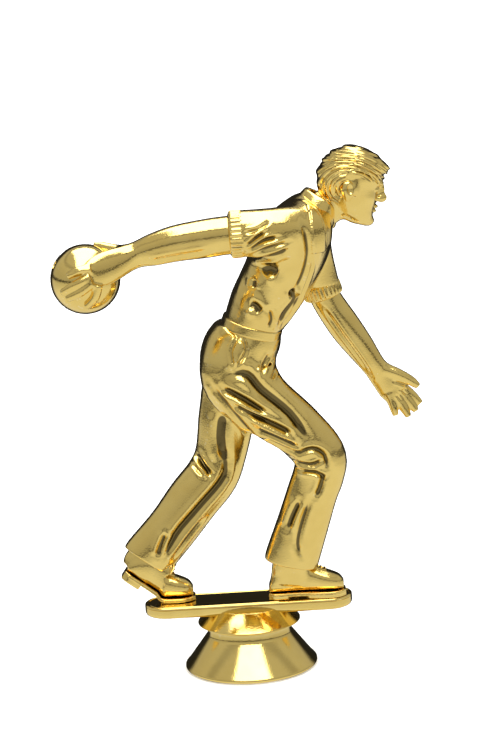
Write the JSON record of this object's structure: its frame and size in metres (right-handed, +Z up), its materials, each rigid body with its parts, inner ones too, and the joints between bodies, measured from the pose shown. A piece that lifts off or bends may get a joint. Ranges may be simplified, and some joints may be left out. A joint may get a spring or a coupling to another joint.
{
  "type": "trophy figure",
  "caption": "Gold-plated trophy figure of a bowler in mid-delivery, holding a ball behind, on a stadium platform over a flared round pedestal.",
  "frame": {"origin": "centre of the overall box on the standing plane, under the figure", "axes": "+Z up, +X the way the figure faces, +Y towards the figure's left hand side (the arm without the ball)"},
  "size_m": [0.0947, 0.0398, 0.1367],
  "materials": {
    "pedestal_skirt_gold": "vacuum-metallised gold with clear lacquer, mirror gloss",
    "pedestal_collar_gold": "vacuum-metallised gold with clear lacquer, mirror gloss",
    "nut_boss_gold": "unplated inner side, satin",
    "platform_tray_gold": "vacuum-metallised gold with clear lacquer, mirror gloss",
    "platform_deck_gold": "vacuum-metallised gold with clear lacquer, mirror gloss",
    "front_shoe_sole_gold": "vacuum-metallised gold with clear lacquer, mirror gloss",
    "front_shoe_upper_gold": "vacuum-metallised gold with clear lacquer, mirror gloss",
    "rear_shoe_sole_gold": "vacuum-metallised gold with clear lacquer, mirror gloss",
    "rear_shoe_upper_gold": "vacuum-metallised gold with clear lacquer, mirror gloss",
    "front_leg_gold": "vacuum-metallised gold with clear lacquer, mirror gloss",
    "rear_leg_gold": "vacuum-metallised gold with clear lacquer, mirror gloss",
    "trouser_seat_gold": "vacuum-metallised gold with clear lacquer, mirror gloss",
    "belt_gold": "vacuum-metallised gold with clear lacquer, mirror gloss",
    "shirt_body_gold": "vacuum-metallised gold with clear lacquer, mirror gloss",
    "shirt_collar_gold": "vacuum-metallised gold with clear lacquer, mirror gloss",
    "right_sleeve_gold": "vacuum-metallised gold with clear lacquer, mirror gloss",
    "left_sleeve_gold": "vacuum-metallised gold with clear lacquer, mirror gloss",
    "right_cuff_gold": "vacuum-metallised gold with clear lacquer, mirror gloss",
    "left_cuff_gold": "vacuum-metallised gold with clear lacquer, mirror gloss",
    "right_forearm_gold": "vacuum-metallised gold with clear lacquer, mirror gloss",
    "left_forearm_gold": "vacuum-metallised gold with clear lacquer, mirror gloss",
    "right_hand_gold": "vacuum-metallised gold with clear lacquer, mirror gloss",
    "left_hand_gold": "vacuum-metallised gold with clear lacquer, mirror gloss",
    "head_gold": "vacuum-metallised gold with clear lacquer, mirror gloss",
    "bowling_ball_gold": "vacuum-metallised gold with clear lacquer, mirror gloss",
    "hex_nut_steel": "plain zinc-plated steel",
    "platform_screw_steel": "plain zinc-plated steel",
    "screw_washer_steel": "plain zinc-plated steel",
    "front_foot_pin_steel": "plain zinc-plated steel",
    "rear_foot_pin_steel": "plain zinc-plated steel"
  },
  "bodies": {
    "root": {"pedestal_skirt": "pedestal_skirt_gold", "pedestal_collar": "pedestal_collar_gold", "nut_boss": "nut_boss_gold", "platform_tray": "platform_tray_gold", "platform_deck": "platform_deck_gold", "front_shoe_sole": "front_shoe_sole_gold", "front_shoe_upper": "front_shoe_upper_gold", "rear_shoe_sole": "rear_shoe_sole_gold", "rear_shoe_upper": "rear_shoe_upper_gold", "front_leg": "front_leg_gold", "rear_leg": "rear_leg_gold", "trouser_seat": "trouser_seat_gold", "belt": "belt_gold", "shirt_body": "shirt_body_gold", "shirt_collar": "shirt_collar_gold", "right_sleeve": "right_sleeve_gold", "left_sleeve": "left_sleeve_gold", "right_cuff": "right_cuff_gold", "left_cuff": "left_cuff_gold", "right_forearm": "right_forearm_gold", "left_forearm": "left_forearm_gold", "right_hand": "right_hand_gold", "left_hand": "left_hand_gold", "head": "head_gold", "bowling_ball": "bowling_ball_gold", "hex_nut": "hex_nut_steel", "platform_screw": "platform_screw_steel", "screw_washer": "screw_washer_steel", "front_foot_pin": "front_foot_pin_steel", "rear_foot_pin": "rear_foot_pin_steel"}
  },
  "joints": []
}
